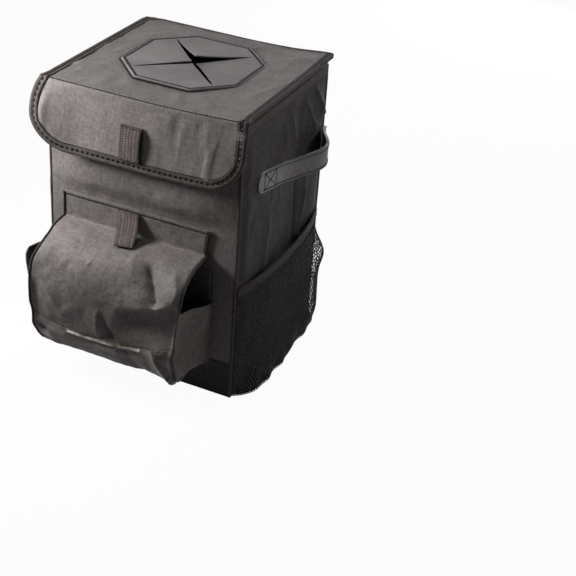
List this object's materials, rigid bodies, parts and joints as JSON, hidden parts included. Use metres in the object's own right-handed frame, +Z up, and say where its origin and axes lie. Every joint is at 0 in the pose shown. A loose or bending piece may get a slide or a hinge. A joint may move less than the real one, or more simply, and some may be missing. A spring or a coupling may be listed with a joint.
{
  "type": "car trash bin",
  "caption": "Fabric car trash bin with a hinged lid, push-in mouth flaps, a bulging front pocket, netting side pockets and strap handles.",
  "frame": {"origin": "centre of the base on the floor", "axes": "+Z up, -Y towards the front pocket, +X to the right of the front"},
  "size_m": [0.2556, 0.2537, 0.3162],
  "materials": {
    "front_fabric": "dark brown-grey coated oxford cloth, fine plain weave",
    "side_fabric": "near-black coated oxford cloth",
    "binding_tape": "woven binding tape with a ribbed face",
    "tab_webbing": "herringbone webbing",
    "strap_webbing": "folded strap with stitched edges",
    "hook_loop": "hook and loop tape",
    "netting": "knitted netting",
    "pale_facing": "pale woven strip",
    "liner_film": "soft waterproof film",
    "stiffener_board": "plain plastic sheet",
    "mouth_plastic": "semi-matt moulded soft plastic"
  },
  "bodies": {
    "bin": {"front_panel": "front_fabric", "back_panel": "front_fabric", "left_panel": "side_fabric", "right_panel": "side_fabric", "base_band": "side_fabric", "bottom_panel": "side_fabric", "front_board": "stiffener_board", "back_board": "stiffener_board", "left_front_board": "stiffener_board", "left_rear_board": "stiffener_board", "right_front_board": "stiffener_board", "right_rear_board": "stiffener_board", "bottom_board": "stiffener_board", "liner": "liner_film", "rim_binding": "binding_tape", "front_left_piping": "binding_tape", "front_right_piping": "binding_tape", "rear_left_piping": "binding_tape", "rear_right_piping": "binding_tape", "hinge_strip": "binding_tape", "front_loop_patch": "hook_loop", "pocket_cover": "front_fabric", "pocket_pouch": "front_fabric", "pocket_gusset_left": "side_fabric", "pocket_gusset_right": "side_fabric", "pocket_tab": "tab_webbing", "pocket_hook_strip": "hook_loop", "pocket_loop_strip": "hook_loop", "slot_facing": "pale_facing", "net_left": "netting", "net_right": "netting", "net_elastic_left": "binding_tape", "net_elastic_right": "binding_tape", "handle_left": "strap_webbing", "handle_right": "strap_webbing"},
    "lid": {"lid_cover": "front_fabric", "lid_board": "stiffener_board", "lid_lining": "liner_film", "lid_binding": "binding_tape", "mouth_plate": "mouth_plastic"},
    "lid_flap": {"flap_cover": "front_fabric", "flap_stiffener": "stiffener_board", "flap_lining": "liner_film", "flap_binding": "binding_tape", "flap_tab": "tab_webbing", "flap_hook_patch": "hook_loop"},
    "mouth_front": {"mouth_flap_front": "mouth_plastic"},
    "mouth_right": {"mouth_flap_right": "mouth_plastic"},
    "mouth_rear": {"mouth_flap_rear": "mouth_plastic"},
    "mouth_left": {"mouth_flap_left": "mouth_plastic"}
  },
  "joints": [
    {"name": "lid_hinge", "type": "hinge", "parent": "bin", "child": "lid", "pos_m": [0, 0.0995, 0.302], "axis": [-1, 0, 0], "range_deg": [0, 180]},
    {"name": "lid_flap_fold", "type": "hinge", "parent": "lid", "child": "lid_flap", "pos_m": [0, -0.1005, 0.304], "axis": [-1, 0, 0], "range_deg": [-6, 100]},
    {"name": "mouth_front_push", "type": "hinge", "parent": "lid", "child": "mouth_front", "pos_m": [-0.003, -0.0355, 0.3076], "axis": [1, 0, 0], "range_deg": [-65, 25], "stiffness_Nm_per_rad": 0.08},
    {"name": "mouth_right_push", "type": "hinge", "parent": "lid", "child": "mouth_right", "pos_m": [0.0405, 0.008, 0.3076], "axis": [0, 1, 0], "range_deg": [-65, 25], "stiffness_Nm_per_rad": 0.08},
    {"name": "mouth_rear_push", "type": "hinge", "parent": "lid", "child": "mouth_rear", "pos_m": [-0.003, 0.0515, 0.3076], "axis": [-1, 0, 0], "range_deg": [-75, 15], "stiffness_Nm_per_rad": 0.08},
    {"name": "mouth_left_push", "type": "hinge", "parent": "lid", "child": "mouth_left", "pos_m": [-0.0465, 0.008, 0.3076], "axis": [0, -1, 0], "range_deg": [-65, 25], "stiffness_Nm_per_rad": 0.08}
  ]
}
